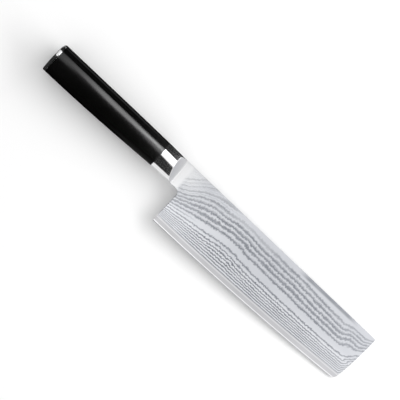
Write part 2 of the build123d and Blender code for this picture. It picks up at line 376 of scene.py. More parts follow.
def bladeSheet(levels):
    # two grids that share the line above the heel: the blade from there to the tip, and the neck behind it
    near = np.r_[easeSteps, nextStep] / bladeShape["length"]
    share = np.unique(np.r_[near, np.linspace(0.02, 0.98, 52), 1 - near])
    beyond = tipLine[:, 1][None, :] - rowAt(tipLine[:, 0][None, :], levels[:, None])
    ends = np.array([np.interp(0, line, tipLine[:, 0]) for line in beyond])
    x = places["heel"] + share[None, :] * (ends - places["heel"])[:, None]
    blade = np.stack([x, rowAt(x, levels[:, None])], axis=-1)

    neckLevels = levels[levels >= choilLevel - 1e-9]
    turn = np.radians(np.linspace(0, 90, 14))
    straight = np.linspace(places["shoulder"], choilCentre[0], 8)[:-1]
    radius = bladeShape["choilRadius"]
    neckX = np.r_[straight, choilCentre[0] + radius * np.sin(turn)]
    bottom = np.r_[np.full(len(straight), neckBottom), choilCentre[1] + radius * np.cos(turn)]
    rise = (neckLevels - choilLevel) / (2 - choilLevel)
    neckY = bottom[None, :] + (places["spine"] - bottom)[None, :] * rise[:, None]
    neck = np.stack([np.broadcast_to(neckX, neckY.shape), neckY], axis=-1)

    points = np.concatenate([blade.reshape(-1, 2), neck.reshape(-1, 2)])
    neckFaces = gridQuads(*neck.shape[:2]) + blade.shape[0] * blade.shape[1]
    return welded(points, halves(np.concatenate([gridQuads(*blade.shape[:2]), neckFaces])))


def rimEasing(points, radius):
    # a quarter round along the spine, the tip, the heel, the choil and the neck
    x, y = points.T
    fromChoil = np.hypot(x - choilCentre[0], y - choilCentre[1]) - bladeShape["choilRadius"]
    overNeck = np.where(x < choilCentre[0], y - neckBottom, fromChoil)
    behind = np.where(y < choilCentre[1], x - places["heel"], overNeck)
    ahead = np.interp(y, tipLine[:, 1], tipLine[:, 0]) - x
    distance = np.clip(np.minimum(np.minimum(behind, ahead), spineAt(x) - y), 0, None)
    inside = np.maximum(radius - distance, 0)
    return radius - np.sqrt(np.maximum(radius**2 - inside**2, 0))


def halfThickness(height):
    # at a height over the edge: the edge's own bevel, then the ground bevel, up to the full thickness
    bevel = edgeBevelHalf + (height - bladeShape["edgeBevel"]) * bevelSlope
    edge = bladeShape["edgeThickness"] / 2
    edgeBevel = edge + (edgeBevelHalf - edge) * height / bladeShape["edgeBevel"]
    ground = np.where(height < bladeShape["edgeBevel"], edgeBevel, bevel)
    return np.minimum(ground, bladeShape["thickness"] / 2)


def addBlade(layeredSteel, coreSteel):
    # a cladding lies on each face of the core, and the core comes out where the bevel cuts through them
    points, triangles = bladeSheet(claddingLevels)
    half = np.maximum(halfThickness(heightOverEdge(*points.T)), bladeShape["core"] / 2)
    over = half - bladeShape["core"] / 2
    outer = half - rimEasing(points, bladeShape["easing"]) * np.clip(over / bladeShape["easingFades"], 0, 1)
    inner = np.full(len(points), bladeShape["core"] / 2)
    for side, node in ((1, "cladding_right"), (-1, "cladding_left")):
        high, low = places["middle"] + side * outer, places["middle"] + side * inner
        skin, faces = slab(points, triangles, high, low)
        addSkin(node + "_skin", skin, faces, layeredSteel, node)
    points, triangles = bladeSheet(coreLevels)
    half = np.minimum(halfThickness(heightOverEdge(*points.T)), bladeShape["core"] / 2)
    skin, faces = slab(points, triangles, places["middle"] + half, places["middle"] - half)
    addSkin("blade_core_skin", skin, faces, coreSteel, "blade_core")


# Handle, bolster and cap: a D-shaped outline carried along the knife

sectionShape = {
    "ridgeDrop": 4.9,
    "ridgeRadius": 1.0,
    "shoulderRadius": 1.8,
    "crownTurn": 10.0,
    "facetTurn": 81.0,
    "sideStart": 94.0,
    "sideEnd": 118.0,
    "leftCrownTurn": 6.0,
}
gripShape = {
    "buttHeight": 22.85,
    "seamHeight": 19.7,
    "buttRight": 9.2,
    "buttLeft": 8.9,
    "seamRight": 8.1,
    "seamLeft": 7.7,
    "buttRise": 0.7,
    "seamRise": 0.5,
    "tangDrop": 10.4,  # the tang's axis below the handle's top
    "seamEasing": 0.12,
    "firstRow": 0.3,  # how far the first two rows of faces stand from a seam's easing
    "secondRow": 1.0,
    "rows": 60,
}


def turnOf(start, end):
    # sideways and downwards travel, for a radius of one, while the heading turns from level by these angles
    a, b = math.radians(start), math.radians(end)
    return np.array([math.sin(b) - math.sin(a), math.cos(a) - math.cos(b)])


def twoLengths(first, second, sideways, downwards):
    # lengths of two directions that add up to the given travel
    area = first[0] * second[1] - first[1] * second[0]
    firstLength = (sideways * second[1] - downwards * second[0]) / area
    return firstLength, (first[0] * downwards - first[1] * sideways) / area


def carried(pieces):
    # the outline's stretches end to end: arcs of a radius between two headings, or a straight of a length
    sideways, downwards, headings = [], [], []
    x = y = 0
    for length, start, end, count in pieces:
        angles = np.radians(np.linspace(start, end, count + 1))
        if start == end:
            step = np.linspace(0, 1, count + 1)
            dx, dy = np.cos(angles[0]) * step, np.sin(angles[0]) * step
        else:
            dx, dy = np.sin(angles) - np.sin(angles[0]), np.cos(angles[0]) - np.cos(angles)
        reach = np.asarray(length)[..., None]
        sideways.append((x + reach * dx)[..., :-1])
        downwards.append((y + reach * dy)[..., :-1])
        headings.append(angles[:-1])
        x, y = (x + reach * dx)[..., -1:], (y + reach * dy)[..., -1:]
    allHeadings = np.append(np.concatenate(headings), math.pi)
    return np.concatenate([*sideways, x], axis=-1), np.concatenate([*downwards, y], axis=-1), allHeadings


def dSection(topY, height, halfRight, halfLeft):
    # the outline for each station: across, up, and the direction that it faces
    s = sectionShape
    ridge, shoulder = s["ridgeRadius"], s["shoulderRadius"]
    ridgeTurn, shoulderTurn = turnOf(s["facetTurn"], 90), turnOf(s["crownTurn"], s["facetTurn"])
    facetHeading = np.array([math.cos(math.radians(s["facetTurn"])), math.sin(math.radians(s["facetTurn"]))])
    crown, facet = twoLengths(
        turnOf(0, s["crownTurn"]),
        facetHeading,
        halfRight - ridge * ridgeTurn[0] - shoulder * shoulderTurn[0],
        s["ridgeDrop"] - ridge * ridgeTurn[1] - shoulder * shoulderTurn[1],
    )
    pastRidge, bottomTurn = turnOf(90, s["sideStart"]), turnOf(s["sideEnd"], 180)
    side, bottom = twoLengths(
        turnOf(s["sideStart"], s["sideEnd"]),
        bottomTurn,
        -halfRight - ridge * pastRidge[0],
        height - s["ridgeDrop"] - ridge * pastRidge[1],
    )
    leftCrown, leftTurn = turnOf(0, s["leftCrownTurn"]), turnOf(s["leftCrownTurn"], 90)
    leftShoulder = (halfLeft - crown * leftCrown[0]) / leftTurn[0]
    leftDrop = crown * leftCrown[1] + leftShoulder * leftTurn[1]
    flank, leftBottom = twoLengths(turnOf(90, s["sideEnd"]), bottomTurn, -halfLeft, height - leftDrop)
    one = np.ones_like(height)
    right = carried(
        [
            (crown, 0, s["crownTurn"], 4),
            (shoulder * one, s["crownTurn"], s["facetTurn"], 16),
            (facet, s["facetTurn"], s["facetTurn"], 4),
            (ridge * one, s["facetTurn"], s["sideStart"], 8),
            (side, s["sideStart"], s["sideEnd"], 18),
            (bottom, s["sideEnd"], 180, 18),
        ]
    )
    left = carried(
        [
            (crown, 0, s["leftCrownTurn"], 3),
            (leftShoulder, s["leftCrownTurn"], 90, 20),
            (flank, 90, s["sideEnd"], 14),
            (leftBottom, s["sideEnd"], 180, 18),
        ]
    )
    across = topY[..., None] - np.concatenate([right[1], left[1][..., -2:0:-1]], axis=-1)
    up = places["middle"] + np.concatenate([right[0], -left[0][..., -2:0:-1]], axis=-1)
    facing = np.concatenate([right[2], -left[2][-2:0:-1]])
    return across, up, np.cos(facing), np.sin(facing)


def gripSection(x):
    # the height and the top line bend more towards the front
    share = (np.asarray(x, float) - places["butt"]) / (places["gripFront"] - places["butt"])
    g = gripShape
    return dSection(
        places["spine"] + g["buttRise"] + (g["seamRise"] - g["buttRise"]) * share**6,
        g["buttHeight"] + (g["seamHeight"] - g["buttHeight"]) * share**2,
        g["buttRight"] + (g["seamRight"] - g["buttRight"]) * share,
        g["buttLeft"] + (g["seamLeft"] - g["buttLeft"]) * share,
    )


def rings(x, inset=0.0):
    # closed outlines at the given stations, drawn in by an inset
    x = np.atleast_1d(np.asarray(x, float))
    across, up, faceAcross, faceUp = gripSection(x)
    inset = np.broadcast_to(inset, x.shape)[:, None]
    station = np.broadcast_to(x[:, None], across.shape)
    return np.stack([station, across - inset * faceAcross, up - inset * faceUp], axis=-1)


def closedSkin(loops, firstPole, lastPole):
    # loops joined one to the next, each end drawn to a point
    count = loops.shape[1]
    first, last = (np.broadcast_to(pole, (1, count, 3)) for pole in (firstPole, lastPole))
    grid = np.concatenate([first, loops, last])
    return welded(grid.reshape(-1, 3), halves(gridQuads(len(grid), count, True)))


def easedEnd(x, direction, easing, steps=4):
    # stations and insets of a quarter round that ends at x
    turn = np.radians(np.linspace(0, 90, steps))
    return x - direction * easing * (1 - np.sin(turn)), easing * (1 - np.cos(turn))


def tangAxis(rise):
    # across and up, where the tang's axis passes under a top line that rises over the spine by this much
    return np.array([places["spine"] + rise - gripShape["tangDrop"], places["middle"]])


def addGrip(blackWood):
    # the section's loops from the cap to the bolster, drawn in by a quarter round at both seams
    frontX, frontInset = easedEnd(places["gripFront"], 1, gripShape["seamEasing"])
    backX, backInset = easedEnd(places["capFront"], -1, gripShape["seamEasing"])
    first, second = gripShape["firstRow"], gripShape["secondRow"]
    middle = np.linspace(places["capFront"] + second, places["gripFront"] - second, gripShape["rows"])
    middle = np.r_[places["capFront"] + first, middle, places["gripFront"] - first]
    stations = np.r_[backX[::-1], middle, frontX]
    insets = np.r_[backInset[::-1], 0 * middle, frontInset]
    axis = tangAxis(gripShape["buttRise"])
    poles = [[x, *axis] for x in (places["capFront"], places["gripFront"])]
    skin, faces = closedSkin(rings(stations, insets), *poles)
    addSkin("handle_grip_skin", skin, faces, blackWood, "handle_grip")


capShape = {
    "edgeRadius": 0.8,
    "topEasing": 1.0,  # the edge draws back by this at the handle's top, from a height below it
    "topEasingHeight": 4.5,
    "bow": 0.4,
    "spigotRadius": 6.95,
    "spigotWall": 1.6,
    "spigotLength": 4.0,
    "spigotEasing": 0.2,
    "lastRow": 0.6,  # how far the side's last row of faces stands from the seam
}


def addCap(polishedSteel):
    # a face bowed to a sphere, a round edge, the side, and a hollow spigot that reaches into the grip
    c = capShape
    bowRadius = (gripShape["buttHeight"] ** 2 / 4 + c["bow"] ** 2) / (2 * c["bow"])
    top = places["spine"] + gripShape["buttRise"]
    centre = np.array([top - gripShape["buttHeight"] / 2, places["middle"]])
    outline = rings(places["butt"], c["edgeRadius"])[0, :, 1:]
    shrink = np.r_[np.linspace(0.05, 0.95, 14), 1][:, None, None]
    face = centre + (outline - centre) * shrink
    faceX = places["butt"] + bowRadius - np.sqrt(bowRadius**2 - ((face - centre) ** 2).sum(-1))
    face = np.concatenate([faceX[..., None], face], axis=-1)
    turn = np.radians(np.linspace(8, 90, 11))
    corner = rings(np.full(len(turn), places["butt"]), c["edgeRadius"] * (1 - np.sin(turn)))
    corner[..., 0] = faceX[-1] + (c["edgeRadius"] * (1 - np.cos(turn)))[:, None]
    for loop in (face, corner):
        share = np.clip(1 - (top - loop[..., 1]) / c["topEasingHeight"], 0, 1)
        loop[..., 0] += c["topEasing"] * share**2
    seamX, seamInset = easedEnd(places["capFront"], 1, gripShape["seamEasing"])
    side = rings(np.r_[places["capFront"] - c["lastRow"], seamX], np.r_[0, seamInset])
    axis = tangAxis(gripShape["buttRise"])
    away = side[-1, :, 1:] - axis
    away = away / np.hypot(*away.T)[:, None]

    def circle(x, radius):
        # as many points as the outline has, each in its own direction from the tang's axis
        return np.c_[np.full(len(away), x), axis + radius * away][None]

    end = places["capFront"] + c["spigotLength"]
    bore = c["spigotRadius"] - c["spigotWall"]
    spigot = [
        circle(places["capFront"], c["spigotRadius"]),
        circle(end - c["spigotEasing"], c["spigotRadius"]),
        circle(end, c["spigotRadius"] - c["spigotEasing"]),
        circle(end, bore),
        circle(places["capFront"], bore),
    ]
    loops = np.concatenate([face, corner, side, *spigot])
    skin, faces = closedSkin(loops, [places["butt"], *centre], [places["capFront"], *axis])
    addSkin("end_cap_skin", skin, faces, polishedSteel, "end_cap")


bolsterShape = {
    "frontRight": 7.9,
    "frontLeft": 7.5,
    "facetAngle": 54.0,
    "facetLean": 4.0,
    "blendRadius": 1.2,
    "lip": 0.1,  # the facets' feet stand this far off the blade
    "rimEasing": 0.2,
    "slotHalf": 0.97,
}
leanAngle = math.radians(bolsterShape["facetLean"])


def facetReach(up):
    # how far the facet has run back at a height over the blade's middle: an arc from its foot, then a slope
    b = bolsterShape
    over = np.maximum(np.abs(up) - bladeShape["thickness"] / 2 - b["lip"], 0)
    slope = math.radians(b["facetAngle"])
    arcHeight = b["blendRadius"] * (1 - math.cos(slope))
    turn = np.arccos(1 - np.minimum(over, arcHeight) / b["blendRadius"])
    return b["blendRadius"] * np.sin(turn) + np.maximum(over - arcHeight, 0) / math.tan(slope)


def bolsterFront(across, up):
    # where the bolster ends, for a place across the knife and a height: the facets' feet lean forward below
    offMiddle = across - (places["spine"] - bladeShape["neckHeight"] / 2)
    back = facetReach(up - places["middle"]) + offMiddle * math.sin(leanAngle)
    return places["bolsterFront"] - back / math.cos(leanAngle)


def addBolster(polishedSteel):
    # the handle's section shrinks to the front section, cut by two slanted facets that run down to the blade
    b = bolsterShape
    seam = rings(places["gripFront"])[0]
    frontX = places["bolsterFront"] + bladeShape["neckHeight"] * math.tan(leanAngle)
    one = np.ones(1)
    frontSizes = places["spine"], bladeShape["neckHeight"], b["frontRight"], b["frontLeft"]
    across, up = dSection(*(size * one for size in frontSizes))[:2]
    front = np.c_[np.full(across.shape[1], frontX), across[0], up[0]]
    length = frontX - places["gripFront"]

    def along(share):
        # each point at a share of its line from the seam to the front section
        return seam + (front - seam) * share[..., None]

    # each line is followed towards the front section until it meets a facet
    share = np.full(len(seam), 0.8)
    for _ in range(30):
        here = along(share)
        share = share + (bolsterFront(here[:, 1], here[:, 2]) - here[:, 0]) / length
    rim = along(share)
    easeShare = b["rimEasing"] / length
    seamX, seamInset = easedEnd(places["gripFront"], -1, gripShape["seamEasing"])
    seamRings = rings(np.full(len(seamX), places["gripFront"]), seamInset)[::-1]
    seamRings[..., 0] = seamX[::-1, None]
    nearRim = [along(share - easeShare * s) for s in (2.2, 1)]
    sides = [along(share * s) for s in np.r_[0.015, 0.03, np.linspace(0.08, 0.9, 17)]] + nearRim

    # the facet runs straight in from the rim, at the same place across, down to the blade's slot
    rimUp = rim[:, 2] - places["middle"]
    slotUp = np.clip(rimUp, -b["slotHalf"], b["slotHalf"])
    fall = np.abs(rimUp - slotUp)
    easeIn = np.minimum(b["rimEasing"], fall * 0.5) / np.maximum(fall, 1e-9)

    def facetAt(share):
        up = places["middle"] + rimUp + (slotUp - rimUp) * share
        return np.stack([bolsterFront(rim[:, 1], up), rim[:, 1], up], axis=-1)

    before, after = along(share - easeShare), facetAt(easeIn)
    bend = [(1 - t) ** 2 * before + 2 * t * (1 - t) * rim + t**2 * after for t in (0.2, 0.4, 0.6, 0.8)]
    facets = [facetAt(easeIn + (1 - easeIn) * t) for t in np.r_[0, 0.02, np.linspace(0.04, 1, 25)]]
    loops = np.stack([*seamRings, *sides, *bend, *facets])
    poles = [[x, *tangAxis(gripShape["seamRise"])] for x in (places["gripFront"], places["bolsterFront"])]
    skin, faces = closedSkin(loops, *poles)
    addSkin("bolster_skin", skin, faces, polishedSteel, "bolster")


# Finishes

layers = {
    # heights over the edge where the dark layers come out, their half widths and how dark they are
    "low": [
        (5.3, 0.65, 1.0),
        (6.9, 0.7, 1.0),
        (8.45, 0.7, 1.0),
        (10.0, 0.7, 1.0),
        (11.6, 0.7, 1.0),
        (13.4, 0.8, 1.0),
        (15.5, 0.9, 1.0),
        (18.4, 1.05, 1.0),
    ],
    "high": [
        (24.8, 1.4, 1.0),
        (28.4, 1.25, 1.0),
        (31.7, 1.15, 1.0),
        (35.1, 1.1, 0.95),
        (38.7, 1.05, 0.9),
        (43.6, 1.1, 0.6),
        (49.2, 1.0, 0.4),
        (53.5, 1.6, 0.2),
        (58.5, 1.8, 0.35),
    ],
    "heel": [(21.4, 0.95, 0.8)],  # only there, where the broad light band narrows
    "lowest": 3.0,  # these four bound the ranges that the three lists above are drawn in
    "split": 19.5,
    "heelHighest": 23.5,
    "highest": 64.0,
    "steady": 6.0,  # spreading leaves the layer at this height in its place
    "coarse": 1.6,  # how far the waves of each size move a layer
    "jagged": 2.4,
    "fine": 1.5,
    "thinTurn": 3.7,  # radians of the thin layers' wave for each millimetre
    "thinWave": (0.2, 1.0, 0, 0.36),  # where on that wave they begin and are darkest, and how dark
    "bend": 2.5,  # at the tip the layers bend up over this length, and then rise with this slope
    "slope": 0.7,
    "riseLean": 0.5,  # the lines where the tip's rise and the neck begin lean by this for each millimetre
    "neckLean": 0.08,
    "paleShare": 0.5,
    "spineBand": 0.75,
    "patchiness": 0.8,
    "cloud": (0.05, 3.0),  # the scale of the noise and its detail
    "cloudiness": 1.2,
    # how strongly the facet's painted highlight is laid on
    "paintedFacetLightShare": 0.85,
    "light": (0.635, 0.646, 0.675, 1),
    "lightToo": (0.565, 0.577, 0.612, 1),
    "lightLow": (0.685, 0.695, 0.725, 1),
    "dark": (0.25, 0.262, 0.29, 1),
    "darkLow": (0.20, 0.212, 0.238, 1),
    # the bare neck's colour, which also paints the facet's highlight near the bolster
    "plain": (0.87, 0.875, 0.885, 1),
    "roughness": 0.33,
    "darkRougher": 0.12,
    "brushedRougher": 0.05,
    "etchedHeight": -0.02,
    "brushedHeight": 0.004,
    "relief": 0.35,
}
# places along the blade, and how far the layers stand apart there
spreadPoints = [
    (-14, 0.44),
    (-3, 0.57),
    (3, 0.65),
    (10, 0.74),
    (16, 0.81),
    (23, 0.88),
    (31, 0.945),
    (41, 0.985),
    (52, 1.0),
    (88, 1.0),
    (100, 0.965),
    (112, 0.915),
    (130, 0.865),
    (166, 0.80),
]
# how far the upper layers are lifted there, and how far all but the lowest are
fanPoints = [
    (-14, 0),
    (-1, 0),
    (4, 0.5),
    (10, 1.9),
    (19, 3.0),
    (27, 2.3),
    (34, 1.1),
    (42, 0.25),
    (52, 0.1),
    (88, 0.3),
    (100, 0.9),
    (112, 1.25),
    (128, 1.15),
    (144, 0.6),
    (166, 0),
]
humpPoints = [
    (-14, 0),
    (18, -0.1),
    (29, 0.1),
    (39, 1.1),
    (47, 1.9),
    (54, 1.95),
    (60, 0.8),
    (68, 0.3),
    (80, -0.25),
    (90, -0.7),
    (102, -0.45),
    (150, -0.35),
    (166, 0),
]
# heights over the edge, and where along the blade the layers turn up there
turnPoints = [
    (-3, 162.5),
    (8.5, 159.6),
    (11.5, 158.5),
    (14.2, 157),
    (17.3, 154.6),
    (19.5, 155.2),
    (22.5, 156.5),
    (25, 158.3),
    (30, 159),
    (46, 159.8),
]
# Where each part of the pattern begins and where it is complete, or the other way round where it runs out.
# Two more numbers are its strengths at these two places, if they aren't none and all.
layerFades = {
    # along the blade
    "tipRise": (157.5, 168, 0, 3.5),
    "heelLayer": (26, 8),
    "upperGoes": (32, 60),
    "paleComes": (30, 42),
    "paleGoes": (95, 58),
    "spineBandComes": (94, 106),
    "spineBandGoes": (152, 140),
    "neck": (1.2, -1.6),
    "wider": (-2, 28, 1.4, 1.05),
    "heelPaler": (2, 42, 0.66, 1.0),
    "tipPaler": (115, 166, 1.0, 0.75),
    "cloudDarker": (30, 70, 0.25, 0.75),
    # the facet's painted highlight, growing towards the heel
    "paintedFacetLight": (16, -5),
    # up from the straight line of the edge
    "spineBandUp": (41.8, 43.2),
    "neckUp": (25.5, 27.5),
    # the facet's painted highlight lies above these heights
    "paintedFacetLightUp": (24, 38),
    # over the curved edge
    "humpOver": (4, 18),
    "fanOver": (21, 37),
    "tipRiseOver": (17, 25),
    "tipRiseLess": (30, 38, 1, 0.55),
    "swayOver": (4, 20, 0.25, 1.0),
    "lightLowOver": (20, 13),
    "darkOver": (13, 20),
    # up through the layers
    "thinFrom": (25, 27),
    "upperFrom": (39.6, 41.0),
    "paleFrom": (36.2, 37.6),
}
# the scales of each noise on the three axes, and its detail
layerGrains = {
    "coarse": ((0.11, 0.16, 0.3), 2.0),
    "jagged": ((0.7, 0.35, 0.5), 1.0),
    "fine": ((1.6, 0.8, 0.8), 1.0),
    "patchy": ((0.09, 0.3, 0.3), 2.0),
    "brushed": ((9.0, 0.35, 1.0), 2.0),
}


def bladePlace(f):
    # along the blade from the heel, up from the straight line of the edge, and up from the curved edge itself
    here = f.place()
    x, y, _ = f.parts(here)
    along = x - places["heel"]
    up = y - places["edge"]
    return here, along, up, up - along * along / (2 * edgeRadius)


def layeredSteelFinish():
    f = Finish(bpy.data.materials.new("layered_steel"))
    here, along, up, over = bladePlace(f)
    coarse, jagged, fine, patchy, brushed = (f.grain(here, *grain) for grain in layerGrains.values())

    def fade(value, name):
        # how far that part of the pattern has come at a place or a height
        return f.ramped(value, *layerFades[name])

    # the layers draw together at the heel, fan out and hump once, sink a little and turn up at the tip
    spread = f.profile(along, spreadPoints)
    hump = f.profile(along, humpPoints) * fade(over, "humpOver")
    fan = f.profile(along, fanPoints) * fade(over, "fanOver")
    tipRise = fade(along + over * layers["riseLean"], "tipRise") * fade(over, "tipRiseLess")
    pastTurn = (along - f.profile(over, turnPoints)).put("MAXIMUM", 0.0)
    bend, slope = layers["bend"], layers["slope"]
    bending = pastTurn.put("MINIMUM", bend)  # the rise is a curve that far, and a straight line beyond
    moved = hump + fan + tipRise * fade(over, "tipRiseOver")
    moved = moved + bending * bending * (slope / (2 * bend)) + (pastTurn - bending) * slope
    # the hammered layers wander, less where the ground face cuts them at a steeper angle
    waves = coarse * layers["coarse"] + jagged * layers["jagged"] + fine * layers["fine"]
    steady, split = layers["steady"], layers["split"]
    level = (over - moved - steady) / spread + steady + waves * fade(over, "swayOver")
    low = f.peaks(level, layers["lowest"], split, layers["low"])
    high = f.peaks(level, split, layers["highest"], layers["high"])
    heel = f.peaks(level, split, layers["heelHighest"], layers["heel"])
    dark = low + high + heel * fade(along, "heelLayer")
    # thin layers between the broad ones
    thinWave = (level * layers["thinTurn"]).put("SINE")
    thin = f.ramped(thinWave, *layers["thinWave"]) * fade(level, "thinFrom")
    # past the heel the uppermost layers fade, and further on a dark one runs along the spine
    upper = fade(level, "upperFrom") * fade(along, "upperGoes")
    pale = fade(level, "paleFrom") * fade(along, "paleComes") * fade(along, "paleGoes") * layers["paleShare"]
    spineBand = fade(along, "spineBandComes") * fade(along, "spineBandGoes") * fade(up, "spineBandUp")
    # the polished neck has no layers behind a slanting line
    neck = fade(along + up * layers["neckLean"], "neck") * fade(up, "neckUp")
    # squeezed layers stay as wide as they can, and near the heel and the tip they are paler
    wider = fade(along, "wider") * (patchy * layers["patchiness"] + 1.0)
    faded = fade(along, "heelPaler") * fade(along, "tipPaler")
    shown = (dark + thin) * (1 - upper) * (1 - pale) + spineBand * layers["spineBand"]
    dark = f.clamped(shown * wider) * (1 - neck) * faded
    # the bare steel is cloudy, and a little darker past the heel
    cloudy = f.noise(here, *layers["cloud"]) * layers["cloudiness"] + fade(along, "cloudDarker")
    light = f.mixed(f.clamped(cloudy), layers["light"], layers["lightToo"])
    light = f.mixed(fade(over, "lightLowOver"), light, layers["lightLow"])
    # painted highlight: where the bolster's facet would throw light on the neck and on the upper part of the
    # heel, the neck's bright colour is painted
    light = f.mixed(fade(along, "paintedFacetLight") * fade(up, "paintedFacetLightUp") * layers["paintedFacetLightShare"], light, layers["plain"])
    light = f.mixed(neck, light, layers["plain"])
    colour = f.mixed(dark, light, f.mixed(fade(over, "darkOver"), layers["darkLow"], layers["dark"]))
    rough = layers["roughness"] + dark * layers["darkRougher"] + brushed * layers["brushedRougher"]
    height = dark * layers["etchedHeight"] + brushed * layers["brushedHeight"]
    return f.steel(colour, rough, height, layers["relief"])


coreLooks = {
    "tones": [(0.425, 0.425, 0.435, 1), (0.535, 0.535, 0.555, 1)],
    # the honed edge's colour, brightened as a painted highlight
    "honedAndHighlight": (0.80, 0.80, 0.82, 1),
    "brushed": ((7.0, 0.3, 1.0), 3.0),
    "cloud": (0.08, 2.0),
    "cloudiness": 0.7,
    "middleTone": 0.6,
    "heelDarker": (30, 0, 0, 0.6),  # along the blade
    "tipLighter": (70, 150, 0, 0.3),
    "honedHighlightEnds": (1.35, 1.05),  # over the edge, as the next three are
    "honedHighlightBegins": (0.45, 0.7),
    "haloBegins": (3.6, 4.1),
    "haloEnds": (4.7, 4.3),
    "haloShare": 0.5,
    "roughness": 0.32,
    "brushedRougher": 0.12,
    "brushedHeight": 0.004,
    "relief": 0.3,
}


def coreSteelFinish():
    # steel brushed from edge to spine, lighter towards the tip
    f = Finish(bpy.data.materials.new("core_steel"))
    c = coreLooks
    here, along, _, over = bladePlace(f)
    brushed = f.grain(here, *c["brushed"])
    cloud = f.noise(here, *c["cloud"])
    # the honed edge is bright, partly from its polish and partly as a painted highlight, and so is the line
    # where the cladding begins
    honedAndHighlight = f.ramped(over, *c["honedHighlightEnds"]) * f.ramped(over, *c["honedHighlightBegins"])
    halo = f.ramped(over, *c["haloBegins"]) * f.ramped(over, *c["haloEnds"])
    darker, lighter = f.ramped(along, *c["heelDarker"]), f.ramped(along, *c["tipLighter"])
    tone = f.clamped(cloud * c["cloudiness"] + c["middleTone"] - darker + lighter)
    colour = f.mixed(f.clamped(honedAndHighlight + halo * c["haloShare"]), f.mixed(tone, *c["tones"]), c["honedAndHighlight"])
    rough = c["roughness"] + brushed * c["brushedRougher"]
    return f.steel(colour, rough, brushed * c["brushedHeight"], c["relief"])


polishedLooks = {
    "tones": [(0.78, 0.78, 0.79, 1), (0.83, 0.83, 0.83, 1)],
    # the facets' colour: rubbed steel, darkened further as painted shade
    "rubbedAndShaded": (0.60, 0.60, 0.615, 1),
    "rubbedAndShadedShare": 0.8,
    "rubbedFacing": (0.3, 0.5),  # the share of a face's direction that points to the tip
    "cloud": (0.16, 3.0),
    "hairs": ((0.5, 14.0, 14.0), 2.0),
    "roughness": 0.08,
    "cloudRougher": 0.03,
    "hairsRougher": (0.1, 0.35, 0, 0.04),
    "rubbedRougher": 0.2,
    "hairsHeight": 0.0006,
    "relief": 0.2,
}


def polishedSteelFinish():
    f = Finish(bpy.data.materials.new("polished_steel"))
    p = polishedLooks
    here = f.place()
    cloud = f.noise(here, *p["cloud"])
    hairs = f.grain(here, *p["hairs"])
    # the bolster's facets are rubbed matt, and their colour is darkened as painted shade
    facing = f.node("ShaderNodeTexCoord", output="Normal")
    facet = f.ramped(f.parts(facing)[0], *p["rubbedFacing"])
    scratches = f.ramped(hairs, *p["hairsRougher"])
    rough = p["roughness"] + cloud * p["cloudRougher"] + scratches + facet * p["rubbedRougher"]
    colour = f.mixed(f.clamped(cloud + 0.5), *p["tones"])
    colour = f.mixed(facet * p["rubbedAndShadedShare"], colour, p["rubbedAndShaded"])
    return f.steel(colour, rough, hairs * p["hairsHeight"], p["relief"])


woodLooks = {
    "tones": [(0.0008, 0.0008, 0.0009, 1), (0.0024, 0.0022, 0.0020, 1)],
    "grain": ((0.09, 2.4, 2.4), 3.0),
    "grainContrast": 1.4,
    "pores": ((0.5, 6.0, 6.0), 1.0),
    "poresShow": (0.14, 0.26),
    # where the painted sheen's coat lies, by distance from the middle plane and along the knife
    "sheenOnBroadFaces": (4.6, 6.8, 0.05, 1.0),  # from the middle plane
    "sheenFadesToButt": (-150, -112, 0.5, 1.0, False),  # along the knife, evenly
    "grainInSheen": 0.35,
    "roughness": 0.36,
    "grainRougher": 0.08,
    "poresRougher": 0.1,
    "grainHeight": 0.005,
    "poresDepth": 0.008,
    "relief": 0.3,
    "resin": {"IOR": 1.5, "Specular IOR Level": 0.03, "Coat IOR": 1.8, "Coat Roughness": 0.15},
}


def blackWoodFinish():
    f = Finish(bpy.data.materials.new("black_wood"))
    w = woodLooks
    here = f.place()
    x, _, z = f.parts(here)
    grain = f.grain(here, *w["grain"])
    pore = f.ramped(f.grain(here, *w["pores"]), *w["poresShow"])
    # painted sheen: the resin's coat is laid on both broad faces, and less at the butt and round the edges,
    # so that the highlight shows there and the edges stay dark
    broad = f.ramped((z - places["middle"]).put("ABSOLUTE"), *w["sheenOnBroadFaces"])
    paintedSheen = f.ramped(x, *w["sheenFadesToButt"]) * broad * (grain * w["grainInSheen"] + 1.0)
    sockets = {
        "Base Color": f.mixed(f.clamped(grain * w["grainContrast"] + 0.5), *w["tones"]),
        "Roughness": w["roughness"] + grain * w["grainRougher"] + pore * w["poresRougher"],
        "Coat Weight": f.clamped(paintedSheen),
        **w["resin"],
    }
    return f.surface(sockets, grain * w["grainHeight"] - pore * w["poresDepth"], w["relief"])


plainLooks = {
    "tones": [(0.48, 0.48, 0.49, 1), (0.58, 0.58, 0.59, 1)],
    "turned": ((6.0, 0.6, 0.6), 2.0),
    "cloud": (0.3, 3.0),
    "roughness": 0.42,
    "turnedRougher": 0.15,
    "turnedHeight": 0.01,
    "relief": 0.3,
}


def plainSteelFinish():
    # cloudy steel with fine turning marks
    f = Finish(bpy.data.materials.new("plain_steel"))
    p = plainLooks
    here = f.place()
    turned = f.grain(here, *p["turned"])
    colour = f.mixed(f.clamped(f.noise(here, *p["cloud"]) + 0.5), *p["tones"])
    rough = p["roughness"] + turned * p["turnedRougher"]
    return f.steel(colour, rough, turned * p["turnedHeight"], p["relief"])


beddingLooks = {
    "tones": [(0.30, 0.25, 0.17, 1), (0.42, 0.36, 0.26, 1)],
    "cloud": (0.25, 4.0),
    "cloudContrast": 1.5,
    "bubbleScale": 0.9,
    "bubbleRim": (0.16, 0.1),
    "bubbleHeight": -0.05,
    "roughness": 0.45,
    "cloudRougher": 0.2,
    "relief": 0.4,
    "refraction": 1.55,
}


